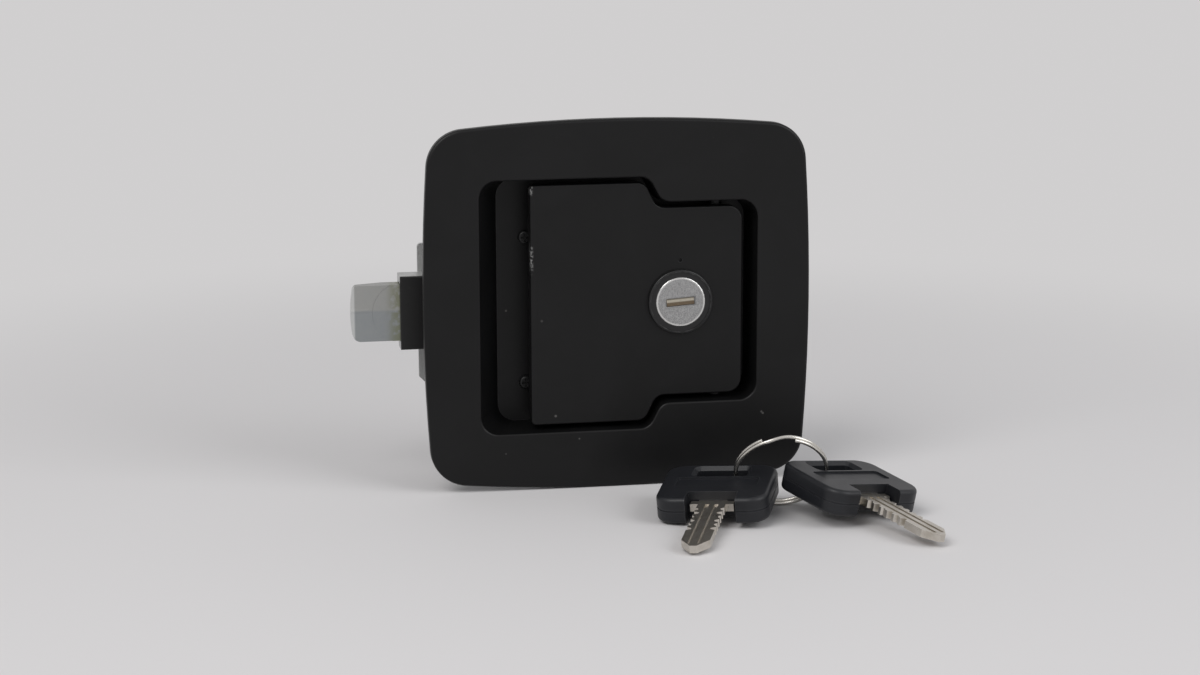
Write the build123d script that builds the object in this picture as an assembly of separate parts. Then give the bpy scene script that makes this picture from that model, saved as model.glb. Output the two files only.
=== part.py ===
"""Flush paddle latch with its two keys.

Frame: X right, Y into the door, Z up, in millimetres. The origin is the centre of the
flange's rear face, which lies against the door skin. The bolt leaves towards -X.
"""

from build123d import *
from math import cos, radians, sin
import os

# ---------------------------------------------------------------- driving dimensions
# Flange and finger pan, one die casting
FLANGE_HALF_WIDTH = 60.5
FLANGE_HALF_HEIGHT = 57.65
FLANGE_SIDE_BULGE = 2.33
FLANGE_TOP_BULGE = 3.37
FLANGE_CORNER_R = 12.0
FLANGE_THICKNESS = 3.0
FLANGE_EDGE_R = 1.0
PAN_DEPTH = 14.0
PAN_WALL = 2.0
PAN_LEFT = -43.3
PAN_RIGHT = 43.7
PAN_WIDE_HALF = 39.5
PAN_NARROW_HALF = 31.6
PAN_STEP_START = 9.4
PAN_STEP_END = 13.6
PAN_CORNER_R = 5.5
PAN_STEP_R = 4.5
PAN_LEFT_DRAFT = 7.2
PAN_SIDE_DRAFT = 1.2
PAN_RIM_R = 0.6

# Paddle
PADDLE_LEFT = -27.2
PADDLE_RIGHT = 39.3
PADDLE_WIDE_HALF = 37.5
PADDLE_NARROW_HALF = 29.6
PADDLE_STEP_START = 8.6
PADDLE_STEP_END = 12.3
PADDLE_STEP_R = 4.0
PADDLE_GRIP_CORNER_R = 1.4
PADDLE_CORNER_R = 4.5
PADDLE_RECESS = 2.2
PADDLE_THICKNESS = 3.2
PADDLE_EDGE_R = 0.5
GRIP_LIP_WIDTH = 3.0
GRIP_LIP_DEPTH = 2.6
RIB_THICKNESS = 1.8
RIB_DEPTH = 3.0
RIB_HEIGHT = 20.0

# Paddle pivot and return spring
PIVOT_X = 32.0
PIVOT_Y = 5.5
PIN_R = 2.0
PIN_CLEARANCE = 0.05
PIN_OVERHANG = 1.6
LUG_R = 4.4
LUG_TOP = 27.0
LUG_TOP_WIDTH = 6.0
TAIL_TOP = -17.5
TAIL_BOTTOM = -25.0
TAIL_THICKNESS = 3.0
TAIL_LENGTH = 13.0
CLIP_R = 3.3
CLIP_THICKNESS = 0.8
TORSION_WIRE_R = 0.42
TORSION_COIL_R = 2.6
TORSION_LOW = 11.2
TORSION_TURNS = 7

# Lock cylinder
LOCK_X = 19.65
LOCK_Z = 0.0
LOCK_BEZEL_R = 10.15
LOCK_BEZEL_PROUD = 1.3
LOCK_BEZEL_LIP = 0.7
LOCK_BODY_R = 8.0
LOCK_BORE_R = 6.4
LOCK_FACE_R = 7.75
LOCK_FACE_RECESS = 0.2
LOCK_FACE_DEPTH = 1.1
LOCK_REAR = 12.8
LOCK_NUT_R = 11.0
LOCK_NUT_THICKNESS = 3.0
LOCK_CLEARANCE = 0.05
KEYWAY_LENGTH = 9.0
KEYWAY_HEIGHT = 2.5
KEYWAY_TURN = 4.0
INDEX_DOT_R = 0.6
INDEX_DOT_RISE = 13.0
CAM_LENGTH = 15.0
CAM_WIDTH = 9.0
CAM_THICKNESS = 1.5
CAM_GAP = 0.5
CAM_SCREW_R = 3.0
CAM_SCREW_HEAD = 1.8
WAFER_COUNT = 5
WAFER_THICKNESS = 0.8
WAFER_PITCH = 1.5
WAFER_WIDTH = 5.2

# Latch case behind the pan
CASE_CENTRE_Z = -3.1
CASE_HALF_HEIGHT = 27.0
CASE_LEFT = -56.0
CASE_RIGHT = 47.0
CASE_WALL = 1.4
CASE_DEPTH = 7.5
BACK_PLATE_THICKNESS = 1.6
EAR_LEFT = -59.6
EAR_TOP = 17.3
EAR_BOTTOM = -28.6
EAR_CHAMFER = 4.0
SCREW_HEAD_R = 2.1
SCREW_HEAD_HEIGHT = 1.5
SCREW_SHANK_R = 1.4
CASE_SCREW_LEFT = -27.3
CASE_SCREW_RIGHT = 38.4
CASE_SCREW_RISE = 23.0
RIVET_HEAD_R = 2.0
RIVET_HEAD_HEIGHT = 0.9
RIVET_SHANK_R = 1.2

# Snout that carries the bolt
SNOUT_LEFT = -66.0
SNOUT_HALF_HEIGHT = 11.5
SNOUT_WALL = 1.3
SNOUT_COVER_THICKNESS = 1.1
COVER_WING = 4.4
COVER_RIVET_R = 1.1
SNOUT_CORNER_CHAMFER = 2.4

# Bolt, slide and rocker
BOLT_TRAVEL = 13.6
BOLT_NOSE = -80.4
BOLT_NOSE_BULGE = 0.9
BOLT_TAIL = -45.0
BOLT_HALF_HEIGHT = 8.8
BOLT_THICKNESS = 5.7
BOLT_TIP_THICKNESS = 3.0
BOLT_BEVEL_RUN = 9.0
BOLT_EDGE_R = 0.6
BOLT_PAD_STEP = 0.25
BOLT_PAD_R = 9.4
BOLT_GAP = 0.3
SLIDE_THICKNESS = 1.8
SLIDE_GAP = 0.4
SLIDE_BAR_HALF = 7.0
SLIDE_BAR_LEFT = -58.0
ROCKER_THICKNESS = 2.2
ROCKER_Z = -6.8
ROCKER_SHORT_ARM = 12.8
ROCKER_LONG_ARM = 24.6
ROCKER_SWING = 33.5
ROCKER_HALF_WIDTH = 3.3
ROCKER_PIVOT_R = 2.5
PUSH_PIN_R = 4.0
PUSH_GAP = 0.35
DRIVE_PIN_R = 2.5
DRIVE_SLOT_GAP = 0.45
SPRING_WIRE_R = 0.4
SPRING_COIL_R = 2.7
SPRING_TURNS = 11
SPRING_Z = -15.6
SPRING_SEAT = 1.6
SPRING_RIGHT = -8.0
SPRING_ROD_R = 1.7

# Fixing bosses for the door
BOSS_LEFT = -30.5
BOSS_RIGHT = 40.5
BOSS_RISE = 36.0
BOSS_R = 4.0
BOSS_MOUTH = 20.0
BOSS_HOLE_R = 2.1
BOSS_HOLE_DEPTH = 7.5

# Keys and split ring
FLOOR_Z = -FLANGE_HALF_HEIGHT
BOW_WIDTH = 33.8
BOW_DEPTH = 29.6
BOW_THICKNESS = 8.0
BOW_CORNER_R = 6.0
BOW_EDGE_R = 1.3
BOW_NOTCH_WIDTH = 15.0
BOW_NOTCH_DEPTH = 6.5
BOW_PANEL_STEP = 0.6
BOW_SLOT_LENGTH = 15.4
BOW_SLOT_WIDTH = 6.6
BOW_SLOT_INSET = 5.93
BOW_SLOT_MOUTH = 1.1
BLADE_THICKNESS = 2.3
BLADE_WIDTH = 8.4
BLADE_REACH = 36.0
BLADE_SHOULDER_WIDTH = 13.0
BLADE_SHOULDER_LENGTH = 2.6
BLADE_TIP = 4.5
BIT_PITCH = 3.1
BIT_DEPTHS = (0.9, 1.5, 0.6, 1.2, 0.8, 1.4)
GROOVE_WIDTH = 1.2
GROOVE_DEPTH = 0.5
RING_R = 13.68
RING_WIRE_R = 0.55
RING_PITCH = 1.24
RING_CENTRE = (42.26, -40.82, -45.05)
RING_TILT = -31.2
RING_YAW = -8.65
RING_END_AT = 118.0
RING_JOG_START = 322.0
RING_JOG_END = 356.0
RING_WIND = 678.0

# ---------------------------------------------------------------- derived places
FLANGE_FRONT = -FLANGE_THICKNESS
PAN_FLOOR = FLANGE_FRONT + PAN_DEPTH
PAN_BACK = PAN_FLOOR + PAN_WALL
PADDLE_FRONT = FLANGE_FRONT + PADDLE_RECESS
PADDLE_BACK = PADDLE_FRONT + PADDLE_THICKNESS
CASE_BACK = PAN_BACK + CASE_DEPTH
CASE_TOP = CASE_CENTRE_Z + CASE_HALF_HEIGHT
CASE_BOTTOM = CASE_CENTRE_Z - CASE_HALF_HEIGHT
CAM_FRONT = LOCK_REAR + CAM_GAP
SNOUT_FRONT = PAN_BACK - SNOUT_COVER_THICKNESS
SNOUT_INNER = PAN_BACK
BOLT_FRONT = SNOUT_INNER + BOLT_GAP
BOLT_BACK = BOLT_FRONT + BOLT_THICKNESS
SLIDE_FRONT = BOLT_FRONT + (BOLT_THICKNESS - SLIDE_THICKNESS) / 2
SLIDE_BACK = SLIDE_FRONT + SLIDE_THICKNESS
ROCKER_FRONT = SLIDE_BACK + SLIDE_GAP
ROCKER_BACK = ROCKER_FRONT + ROCKER_THICKNESS
ROCKER_X = PIVOT_X - TAIL_THICKNESS / 2 - PUSH_GAP - PUSH_PIN_R
SPRING_LEFT = BOLT_TAIL + 0.4 + SPRING_SEAT
DRIVE_Z = ROCKER_Z + ROCKER_LONG_ARM
PUSH_Z = ROCKER_Z - ROCKER_SHORT_ARM

os.makedirs("parts", exist_ok=True)


def plane_at(depth):
    """A sketch plane at one depth whose own x and y are the latch's X and Z."""
    return Plane(origin=(0, depth, 0), x_dir=(1, 0, 0), z_dir=(0, -1, 0))


def slab(outline, front, back):
    """Extrude an X-Z outline between two depths."""
    return extrude(plane_at(back) * outline, back - front)


def block(x0, x1, y0, y1, z0, z1):
    centre = ((x0 + x1) / 2, (y0 + y1) / 2, (z0 + z1) / 2)
    return Pos(*centre) * Box(x1 - x0, y1 - y0, z1 - z0)


def rod_y(x, z, radius, front, back):
    """A round bar along Y."""
    return slab(Pos(x, z) * Circle(radius), front, back)


def rod_z(x, y, radius, low, high):
    return Pos(x, y, (low + high) / 2) * Cylinder(radius, high - low)


def rod_x(y, z, radius, left, right):
    return Pos((left + right) / 2, y, z) * Rot(0, 90, 0) * Cylinder(radius, right - left)


def rounded(outline, radius_of):
    """Fillet each corner of an outline by the radius its place calls for."""
    for corner in outline.vertices():
        radius = radius_of(corner.X, corner.Y)
        near = outline.vertices().sort_by_distance((corner.X, corner.Y, 0))[0]
        outline = fillet(near, radius)
    return outline


def tee(left, right, wide, narrow, step_start, step_end, left_r, right_r, step_r):
    """The T outline of the pan and the paddle: wide at the grip, narrow at the pivot."""
    upper = [(left, wide), (step_start, wide), (step_end, narrow), (right, narrow)]
    lower = [(x, -z) for x, z in reversed(upper)]
    outline = make_face(Polyline(*upper, *lower, close=True))

    def radius_of(x, z):
        if x < step_start - 1:
            return left_r
        return right_r if x > step_end + 1 else step_r

    return rounded(outline, radius_of)


def pan_outline(grow, draft):
    """The pan's T, grown by a wall and drawn in by a share of its draft."""
    side = PAN_SIDE_DRAFT * draft
    return tee(
        PAN_LEFT - grow + PAN_LEFT_DRAFT * draft,
        PAN_RIGHT + grow - side,
        PAN_WIDE_HALF + grow - side,
        PAN_NARROW_HALF + grow - side,
        PAN_STEP_START + grow * 0.6,
        PAN_STEP_END + grow * 0.6,
        PAN_CORNER_R + grow * 0.6,
        PAN_CORNER_R + grow * 0.6,
        PAN_STEP_R,
    )


def drafted(grow, front, back):
    """The pan's drafted volume between two depths, grown by a wall."""
    share = lambda depth: (depth - FLANGE_FRONT) / PAN_DEPTH
    first = plane_at(front) * pan_outline(grow, share(front))
    last = plane_at(back) * pan_outline(grow, share(back))
    return loft([first, last], ruled=True)


def corner_points():
    return [(x, side * BOSS_RISE) for x in (BOSS_LEFT, BOSS_RIGHT) for side in (1, -1)]


def case_screw_points():
    rows = (CASE_CENTRE_Z + CASE_SCREW_RISE, CASE_CENTRE_Z - CASE_SCREW_RISE)
    return [(x, z) for x in (CASE_SCREW_LEFT, CASE_SCREW_RIGHT) for z in rows]


# ---------------------------------------------------------------- bezel and finger pan
def flange_plate():
    x, z = FLANGE_HALF_WIDTH, FLANGE_HALF_HEIGHT
    cx, cz = x - FLANGE_SIDE_BULGE, z - FLANGE_TOP_BULGE
    edges = [
        ThreePointArc((-cx, cz), (0, z), (cx, cz)),
        ThreePointArc((cx, cz), (x, 0), (cx, -cz)),
        ThreePointArc((cx, -cz), (0, -z), (-cx, -cz)),
        ThreePointArc((-cx, -cz), (-x, 0), (-cx, cz)),
    ]
    outline = make_face(Wire(edges))
    plate = slab(fillet(outline.vertices(), FLANGE_CORNER_R), FLANGE_FRONT, 0)
    return fillet(plate.faces().sort_by(Axis.Y)[0].edges(), FLANGE_EDGE_R)


def lock_window():
    """The hole in the pan's floor that the lock and its cam swing through."""
    reach = CAM_LENGTH + 3.2
    side = CAM_WIDTH / 2 + 1.0
    swing = Pos(LOCK_X, LOCK_Z) * Circle(LOCK_NUT_R + 1.4)
    drift = Pos(LOCK_X - 3.4, LOCK_Z) * Circle(LOCK_NUT_R + 1.4)
    along = Pos(LOCK_X - reach / 2, LOCK_Z) * Rectangle(reach, 2 * side)
    up = Pos(LOCK_X - 1.2, LOCK_Z + reach / 2) * Rectangle(2 * side + 2.4, reach)
    return swing + drift + along + up


def make_bezel_pan():
    shell = flange_plate() + drafted(PAN_WALL, 0, PAN_BACK)
    for x, z in corner_points():
        start = 0 if x > 0 else PAN_FLOOR
        shell += rod_y(x, z, BOSS_R, start, BOSS_MOUTH)
    shell -= drafted(0, FLANGE_FRONT, PAN_FLOOR)
    rim = [
        edge
        for edge in shell.faces().sort_by(Axis.Y)[0].inner_wires()[0].edges()
    ]
    shell = fillet(rim, PAN_RIM_R)
    for x, z in corner_points():
        shell -= rod_y(x, z, BOSS_HOLE_R, BOSS_MOUTH - BOSS_HOLE_DEPTH, BOSS_MOUTH)
    shell -= slab(lock_window(), PAN_FLOOR - 1, PAN_BACK + 1)
    tail_low, tail_high = TAIL_BOTTOM - 1.0, TAIL_TOP + 1.0
    shell -= block(
        PIVOT_X - 9.2, PIVOT_X + 2.4, PAN_FLOOR - 1, PAN_BACK + 1, tail_low, tail_high
    )
    for x, z in case_screw_points():
        shell -= rod_y(x, z, SCREW_SHANK_R + 0.1, PAN_FLOOR - 1, PAN_BACK + 1)
    shell -= rod_z(PIVOT_X, PIVOT_Y, PIN_R, -PAN_WIDE_HALF, PAN_WIDE_HALF)
    return shell


def pin_reach():
    """Half the pin's length: past the narrow walls by its overhang."""
    share = (PIVOT_Y - FLANGE_FRONT) / PAN_DEPTH
    return PAN_NARROW_HALF + PAN_WALL - PAN_SIDE_DRAFT * share + PIN_OVERHANG


def make_pin_clips():
    """E-shaped retaining clips in the pin's end grooves."""
    clips = []
    for side in (1, -1):
        face = side * (pin_reach() - PIN_OVERHANG + 0.35)
        other = face + side * CLIP_THICKNESS
        low, high = min(face, other), max(face, other)
        ring = rod_z(PIVOT_X, PIVOT_Y, CLIP_R, low, high)
        ring -= rod_z(PIVOT_X, PIVOT_Y, PIN_R - 0.3, low - 1, high + 1)
        mouth = block(
            PIVOT_X - PIN_R * 0.8, PIVOT_X + PIN_R * 0.8,
            PIVOT_Y, PIVOT_Y + CLIP_R + 1, low - 1, high + 1,
        )
        clips.append(ring - mouth)
    return Compound(clips)


def make_paddle_pin():
    reach = pin_reach()
    pin = rod_z(PIVOT_X, PIVOT_Y, PIN_R, -reach, reach)
    pin = chamfer(pin.edges(), 0.3)
    for side in (1, -1):
        face = side * (reach - PIN_OVERHANG + 0.35)
        other = face + side * CLIP_THICKNESS
        low, high = min(face, other), max(face, other)
        groove = rod_z(PIVOT_X, PIVOT_Y, PIN_R + 1, low, high)
        pin -= groove - rod_z(PIVOT_X, PIVOT_Y, PIN_R - 0.3, low - 1, high + 1)
    return pin


# ---------------------------------------------------------------- latch case
def snout_outline(shrink=0.0):
    half = SNOUT_HALF_HEIGHT - shrink
    left = SNOUT_LEFT + shrink
    right = CASE_LEFT + CASE_WALL
    width = right - left
    return Pos(left + width / 2, CASE_CENTRE_Z) * Rectangle(width, 2 * half)


def bolt_window(gap):
    height = 2 * (BOLT_HALF_HEIGHT + gap)
    return block(
        SNOUT_LEFT - 1, CASE_LEFT + CASE_WALL + 1, BOLT_FRONT - gap, BOLT_BACK + gap,
        CASE_CENTRE_Z - height / 2, CASE_CENTRE_Z + height / 2,
    )


def make_latch_case():
    """Folded frame: four walls, front tabs for the screws, and the bolt's snout."""
    width = CASE_RIGHT - CASE_LEFT
    centre = Pos((CASE_LEFT + CASE_RIGHT) / 2, CASE_CENTRE_Z)
    outer = fillet((Rectangle(width, 2 * CASE_HALF_HEIGHT)).vertices(), 2.4)
    inner = fillet(
        Rectangle(width - 2 * CASE_WALL, 2 * (CASE_HALF_HEIGHT - CASE_WALL)).vertices(), 1.0
    )
    frame = slab(centre * outer, PAN_BACK, CASE_BACK)
    frame -= slab(centre * inner, PAN_BACK - 1, CASE_BACK + 1)
    for x, z in case_screw_points():
        edge = CASE_TOP if z > CASE_CENTRE_Z else CASE_BOTTOM
        inward = z - 3.6 if z > CASE_CENTRE_Z else z + 3.6
        frame += block(
            x - 4.5, x + 4.5, PAN_BACK, PAN_BACK + CASE_WALL, min(edge, inward), max(edge, inward)
        )
    # The strip left of the pan is closed by the case's own folded front.
    pan_edge = PAN_LEFT + PAN_LEFT_DRAFT - PAN_WALL - 1.5
    frame += block(
        CASE_LEFT, pan_edge, PAN_BACK, PAN_BACK + CASE_WALL, CASE_BOTTOM, CASE_TOP
    ) - block(
        CASE_LEFT - 1, pan_edge + 1, PAN_BACK - 1, PAN_BACK + 2,
        CASE_CENTRE_Z - SNOUT_HALF_HEIGHT, CASE_CENTRE_Z + SNOUT_HALF_HEIGHT,
    ) - block(
        BOLT_TAIL - 1, pan_edge + 1, PAN_BACK - 1, PAN_BACK + 2,
        SPRING_Z - SPRING_COIL_R - 2.4, CASE_CENTRE_Z,
    )
    snout = slab(snout_outline(), SNOUT_INNER, CASE_BACK)
    snout = chamfer(
        snout.edges().filter_by(Axis.X).group_by(Axis.Z)[0].sort_by(Axis.Y)[-1],
        SNOUT_CORNER_CHAMFER,
    )
    frame += snout
    frame -= bolt_window(BOLT_GAP)
    frame -= block(
        SNOUT_LEFT + SNOUT_WALL, CASE_LEFT + CASE_WALL + 1, SNOUT_INNER - 1, BOLT_BACK + BOLT_GAP,
        CASE_CENTRE_Z - SNOUT_HALF_HEIGHT + SNOUT_WALL, CASE_CENTRE_Z + SNOUT_HALF_HEIGHT - SNOUT_WALL,
    )
    # The wall that the bolt spring's rod is riveted in
    frame += block(
        SPRING_RIGHT, SPRING_RIGHT + CASE_WALL, PAN_BACK + 0.6, CASE_BACK,
        CASE_BOTTOM, SPRING_Z + SPRING_COIL_R + 1.0,
    )
    frame -= rod_x(BOLT_FRONT + BOLT_THICKNESS / 2, SPRING_Z, SPRING_ROD_R, SPRING_RIGHT - 1,
                   SPRING_RIGHT + CASE_WALL + 1)
    for x, z in case_screw_points():
        frame -= rod_y(x, z, SCREW_SHANK_R, PAN_BACK - 1, PAN_BACK + CASE_WALL + 1)
    for x, z in plate_rivet_points():
        half = RIVET_HEAD_R + 0.6
        frame += block(
            x - half, x + half, CASE_BACK - CASE_WALL, CASE_BACK, z - half, z + half
        ) & slab(centre * inner, PAN_BACK, CASE_BACK)
        frame -= rod_y(x, z, RIVET_SHANK_R, CASE_BACK - CASE_WALL - 1, CASE_BACK + 1)
    for x, z in cover_rivet_points():
        frame -= rod_y(x, z, COVER_RIVET_R, PAN_BACK - 1, PAN_BACK + CASE_WALL + 1)
    return frame


def plate_rivet_points():
    inset = CASE_WALL + RIVET_HEAD_R + 0.2
    rows = (CASE_TOP - inset, CASE_BOTTOM + inset)
    columns = (CASE_LEFT + inset, -20.0, CASE_RIGHT - inset)
    return [(x, z) for x in columns for z in rows]


def make_back_plate():
    """Flat cover of the case; its left end is the ear that shows beside the flange."""
    body = Pos((CASE_LEFT + CASE_RIGHT) / 2, CASE_CENTRE_Z) * Rectangle(
        CASE_RIGHT - CASE_LEFT, 2 * CASE_HALF_HEIGHT
    )
    plate = slab(body, CASE_BACK, CASE_BACK + BACK_PLATE_THICKNESS)
    ear = Pos((EAR_LEFT + CASE_LEFT) / 2 + 1, (EAR_TOP + EAR_BOTTOM) / 2) * Rectangle(
        CASE_LEFT - EAR_LEFT + 2, EAR_TOP - EAR_BOTTOM
    )
    ear = slab(ear, CASE_BACK, CASE_BACK + BACK_PLATE_THICKNESS)
    left = ear.edges().filter_by(Axis.Y).group_by(Axis.X)[0].sort_by(Axis.Z)
    ear = chamfer(left[0], EAR_CHAMFER - 0.5)
    left = ear.edges().filter_by(Axis.Y).group_by(Axis.X)[0].sort_by(Axis.Z)
    ear = fillet(left[-1], 1.2)
    plate += ear
    for x, z in plate_rivet_points():
        plate -= rod_y(x, z, RIVET_SHANK_R, CASE_BACK - 1, CASE_BACK + 3)
    plate -= rod_y(ROCKER_X, ROCKER_Z, ROCKER_PIVOT_R - 0.5, CASE_BACK - 1, CASE_BACK + 3)
    return plate


def make_plate_rivets():
    """Rivets with their shop heads on the case's inner tabs."""
    rivets = []
    for x, z in plate_rivet_points():
        back = CASE_BACK + BACK_PLATE_THICKNESS
        inside = CASE_BACK - CASE_WALL
        rivet = rod_y(x, z, RIVET_SHANK_R, inside - 0.8, back)
        head = rod_y(x, z, RIVET_HEAD_R, back, back + RIVET_HEAD_HEIGHT)
        head = fillet(head.faces().sort_by(Axis.Y)[-1].edges(), RIVET_HEAD_HEIGHT * 0.8)
        tail = rod_y(x, z, RIVET_HEAD_R - 0.2, inside - 0.8, inside)
        rivets.append(rivet + head + tail)
    return Compound(rivets)


def make_case_screws():
    """Pan-head screws through the pan's floor into the case's tabs."""
    screws = []
    for x, z in case_screw_points():
        shank = rod_y(x, z, SCREW_SHANK_R, PAN_FLOOR, PAN_BACK + CASE_WALL + 0.4)
        head = rod_y(x, z, SCREW_HEAD_R, PAN_FLOOR - SCREW_HEAD_HEIGHT, PAN_FLOOR)
        head = fillet(head.faces().sort_by(Axis.Y)[0].edges(), 0.7)
        slot = Pos(x, z) * Rectangle(2 * SCREW_HEAD_R * 0.62, 0.6)
        cross = slab(slot, PAN_FLOOR - 3, PAN_FLOOR - SCREW_HEAD_HEIGHT + 0.8)
        slot = Pos(x, z) * Rectangle(0.6, 2 * SCREW_HEAD_R * 0.62)
        cross += slab(slot, PAN_FLOOR - 3, PAN_FLOOR - SCREW_HEAD_HEIGHT + 0.8)
        screws.append(shank + head - cross)
    return Compound(screws)


def cover_rivet_points():
    rise = SNOUT_HALF_HEIGHT + COVER_WING / 2
    return [(CASE_LEFT + 4.6, CASE_CENTRE_Z + side * rise) for side in (1, -1)]


def make_snout_cover():
    """Black front plate of the snout, held behind the flange."""
    right = PAN_LEFT + PAN_LEFT_DRAFT * (SNOUT_FRONT - 1 - FLANGE_FRONT) / PAN_DEPTH - PAN_WALL - 0.8
    width = right - SNOUT_LEFT
    outline = Pos(SNOUT_LEFT + width / 2, CASE_CENTRE_Z) * Rectangle(width, 2 * SNOUT_HALF_HEIGHT)
    wings = Pos(CASE_LEFT + 4.6, CASE_CENTRE_Z) * Rectangle(6.4, 2 * (SNOUT_HALF_HEIGHT + COVER_WING))
    cover = slab(outline + wings, SNOUT_FRONT, SNOUT_INNER)
    cover = chamfer(cover.faces().sort_by(Axis.Y)[0].edges(), 0.25)
    for x, z in cover_rivet_points():
        cover -= rod_y(x, z, COVER_RIVET_R, SNOUT_FRONT - 1, SNOUT_INNER + 1)
    return cover


def make_cover_rivets():
    rivets = []
    for x, z in cover_rivet_points():
        head = rod_y(x, z, COVER_RIVET_R + 0.9, SNOUT_FRONT - 0.7, SNOUT_FRONT)
        head = fillet(head.faces().sort_by(Axis.Y)[0].edges(), 0.5)
        rivets.append(head + rod_y(x, z, COVER_RIVET_R, SNOUT_FRONT, PAN_BACK + CASE_WALL + 0.3))
    return Compound(rivets)


# ---------------------------------------------------------------- paddle
def make_paddle():
    """Plate with a grip lip, ribs, lock seat, pivot lugs and the tail that works the rocker."""
    outline = tee(
        PADDLE_LEFT, PADDLE_RIGHT, PADDLE_WIDE_HALF, PADDLE_NARROW_HALF,
        PADDLE_STEP_START, PADDLE_STEP_END,
        PADDLE_GRIP_CORNER_R, PADDLE_CORNER_R, PADDLE_STEP_R,
    )
    paddle = slab(outline, PADDLE_FRONT, PADDLE_BACK)
    paddle = fillet(paddle.faces().sort_by(Axis.Y)[0].edges(), PADDLE_EDGE_R)
    lip = slab(
        Pos(PADDLE_LEFT + GRIP_LIP_WIDTH / 2, 0)
        * Rectangle(GRIP_LIP_WIDTH, 2 * PADDLE_WIDE_HALF - 2 * PADDLE_GRIP_CORNER_R),
        PADDLE_BACK - 0.5, PADDLE_BACK + GRIP_LIP_DEPTH,
    )
    lip = fillet(lip.faces().sort_by(Axis.Y)[-1].edges().filter_by(Axis.Z), 1.0)
    paddle += lip
    for side in (1, -1):
        rib_end = PIVOT_X - 1
        paddle += block(
            PADDLE_LEFT + 1, rib_end, PADDLE_BACK - 0.5, PADDLE_BACK + RIB_DEPTH,
            side * RIB_HEIGHT - RIB_THICKNESS / 2, side * RIB_HEIGHT + RIB_THICKNESS / 2,
        )
    lugs = ((LUG_TOP - LUG_TOP_WIDTH, LUG_TOP), (TAIL_BOTTOM - 1, TAIL_TOP))
    for low, high in lugs:
        cheek = rod_z(PIVOT_X, PIVOT_Y, LUG_R, low, high)
        web = block(PIVOT_X - LUG_R, PIVOT_X + LUG_R, PADDLE_BACK - 0.5, PIVOT_Y, low, high)
        paddle += cheek + web
    # The tail runs straight back from the pivot and ends in a rounded nose.
    half = TAIL_THICKNESS / 2
    tip = PIVOT_Y + TAIL_LENGTH
    paddle += block(PIVOT_X - half, PIVOT_X + half, PIVOT_Y, tip - half, TAIL_BOTTOM, TAIL_TOP)
    paddle += rod_z(PIVOT_X, tip - half, half, TAIL_BOTTOM, TAIL_TOP)
    paddle -= rod_z(PIVOT_X, PIVOT_Y, PIN_R + PIN_CLEARANCE, TAIL_BOTTOM - 3, LUG_TOP + 2)
    boss = rod_y(LOCK_X, LOCK_Z, LOCK_NUT_R, PADDLE_BACK - 0.5, PADDLE_BACK + 1.2)
    paddle += boss
    paddle -= rod_y(LOCK_X, LOCK_Z, LOCK_BODY_R, PADDLE_FRONT - 1, PADDLE_BACK + 9)
    paddle -= rod_y(LOCK_X, LOCK_Z + INDEX_DOT_RISE, INDEX_DOT_R, PADDLE_FRONT - 1, PADDLE_FRONT + 0.7)
    return paddle


def make_paddle_spring():
    """Torsion spring round the pin: one leg on the paddle, the other on the pan's floor."""
    pitch = 2 * TORSION_WIRE_R + 0.15
    height = pitch * TORSION_TURNS
    path = Helix(pitch, height, TORSION_COIL_R)
    start = path @ 0
    profile = Plane(origin=start, z_dir=path % 0) * Circle(TORSION_WIRE_R)
    spring = Pos(PIVOT_X, PIVOT_Y, TORSION_LOW) * sweep(profile, path, is_frenet=True)
    leg_x = PIVOT_X + TORSION_COIL_R
    spring += rod_y(leg_x, TORSION_LOW, TORSION_WIRE_R, PADDLE_BACK + 0.05, PIVOT_Y)
    spring += rod_y(leg_x, TORSION_LOW + height, TORSION_WIRE_R, PIVOT_Y, PAN_FLOOR - 0.05)
    return spring


# ---------------------------------------------------------------- lock
def make_lock_housing():
    """Round housing: front bezel with a raised lip, and a body through the paddle."""
    front = PADDLE_FRONT - LOCK_BEZEL_PROUD
    bezel = rod_y(LOCK_X, LOCK_Z, LOCK_BEZEL_R, front, PADDLE_FRONT)
    bezel = fillet(bezel.faces().sort_by(Axis.Y)[0].edges(), 0.5)
    dish = LOCK_BEZEL_R - LOCK_BEZEL_LIP
    bezel -= rod_y(LOCK_X, LOCK_Z, dish, front - 1, front + 0.45)
    body = rod_y(LOCK_X, LOCK_Z, LOCK_BODY_R - 0.02, PADDLE_FRONT, LOCK_REAR)
    housing = bezel + body
    face_bore = LOCK_FACE_R + LOCK_CLEARANCE
    housing -= rod_y(LOCK_X, LOCK_Z, face_bore, front - 1, front + LOCK_FACE_RECESS + LOCK_FACE_DEPTH + 0.05)
    housing -= rod_y(LOCK_X, LOCK_Z, LOCK_BORE_R + LOCK_CLEARANCE, front - 1, LOCK_REAR + 1)
    return housing


def make_lock_nut():
    """Hexagonal nut that clamps the housing to the paddle's boss."""
    face = PADDLE_BACK + 1.2
    hexagon = RegularPolygon(LOCK_NUT_R, 6, rotation=30)
    ring = Pos(LOCK_X, LOCK_Z) * (hexagon - Circle(LOCK_BODY_R))
    return slab(ring, face, face + LOCK_NUT_THICKNESS)


def keyway(grow, depth_front, depth_back):
    outline = Pos(LOCK_X, LOCK_Z) * Rot(0, 0, KEYWAY_TURN) * Rectangle(
        KEYWAY_LENGTH + 2 * grow, KEYWAY_HEIGHT + 2 * grow
    )
    return slab(outline, depth_front, depth_back)


def plug_front():
    return PADDLE_FRONT - LOCK_BEZEL_PROUD + LOCK_FACE_RECESS


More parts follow.
